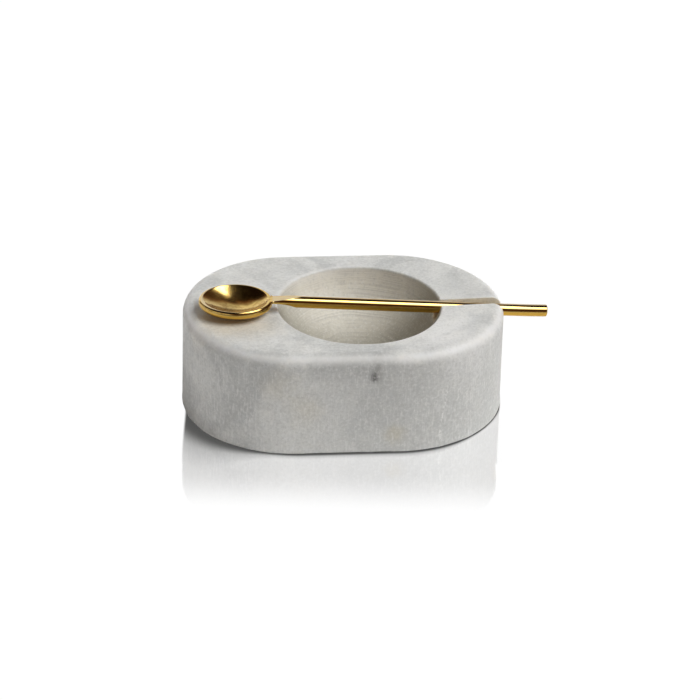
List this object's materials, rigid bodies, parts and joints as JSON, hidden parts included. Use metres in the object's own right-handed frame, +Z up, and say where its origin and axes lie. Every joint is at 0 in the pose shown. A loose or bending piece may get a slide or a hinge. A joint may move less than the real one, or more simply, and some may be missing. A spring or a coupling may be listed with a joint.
{
  "type": "salt bowl",
  "caption": "Block of marble with a round salt hollow and a groove, in which the handle of a loose brass spoon rests.",
  "frame": {"origin": "the middle of the block's flat base", "axes": "+X along the block's length, from the spoon's bowl towards the free end of its handle; +Y to the back; +Z up"},
  "size_m": [0.1232, 0.076, 0.0412],
  "materials": {
    "marble": "honed",
    "brass": "polished",
    "filler": "satin"
  },
  "bodies": {
    "bowl_block": {"marble_block": "marble"},
    "spoon": {"spoon_bowl": "brass", "spoon_handle": "brass", "braze_fillet": "filler"}
  },
  "joints": [
    {"name": "spoon_lift", "type": "slide", "parent": "bowl_block", "child": "spoon", "axis": [0, 0, 1], "range_m": [0, 0.06]}
  ]
}
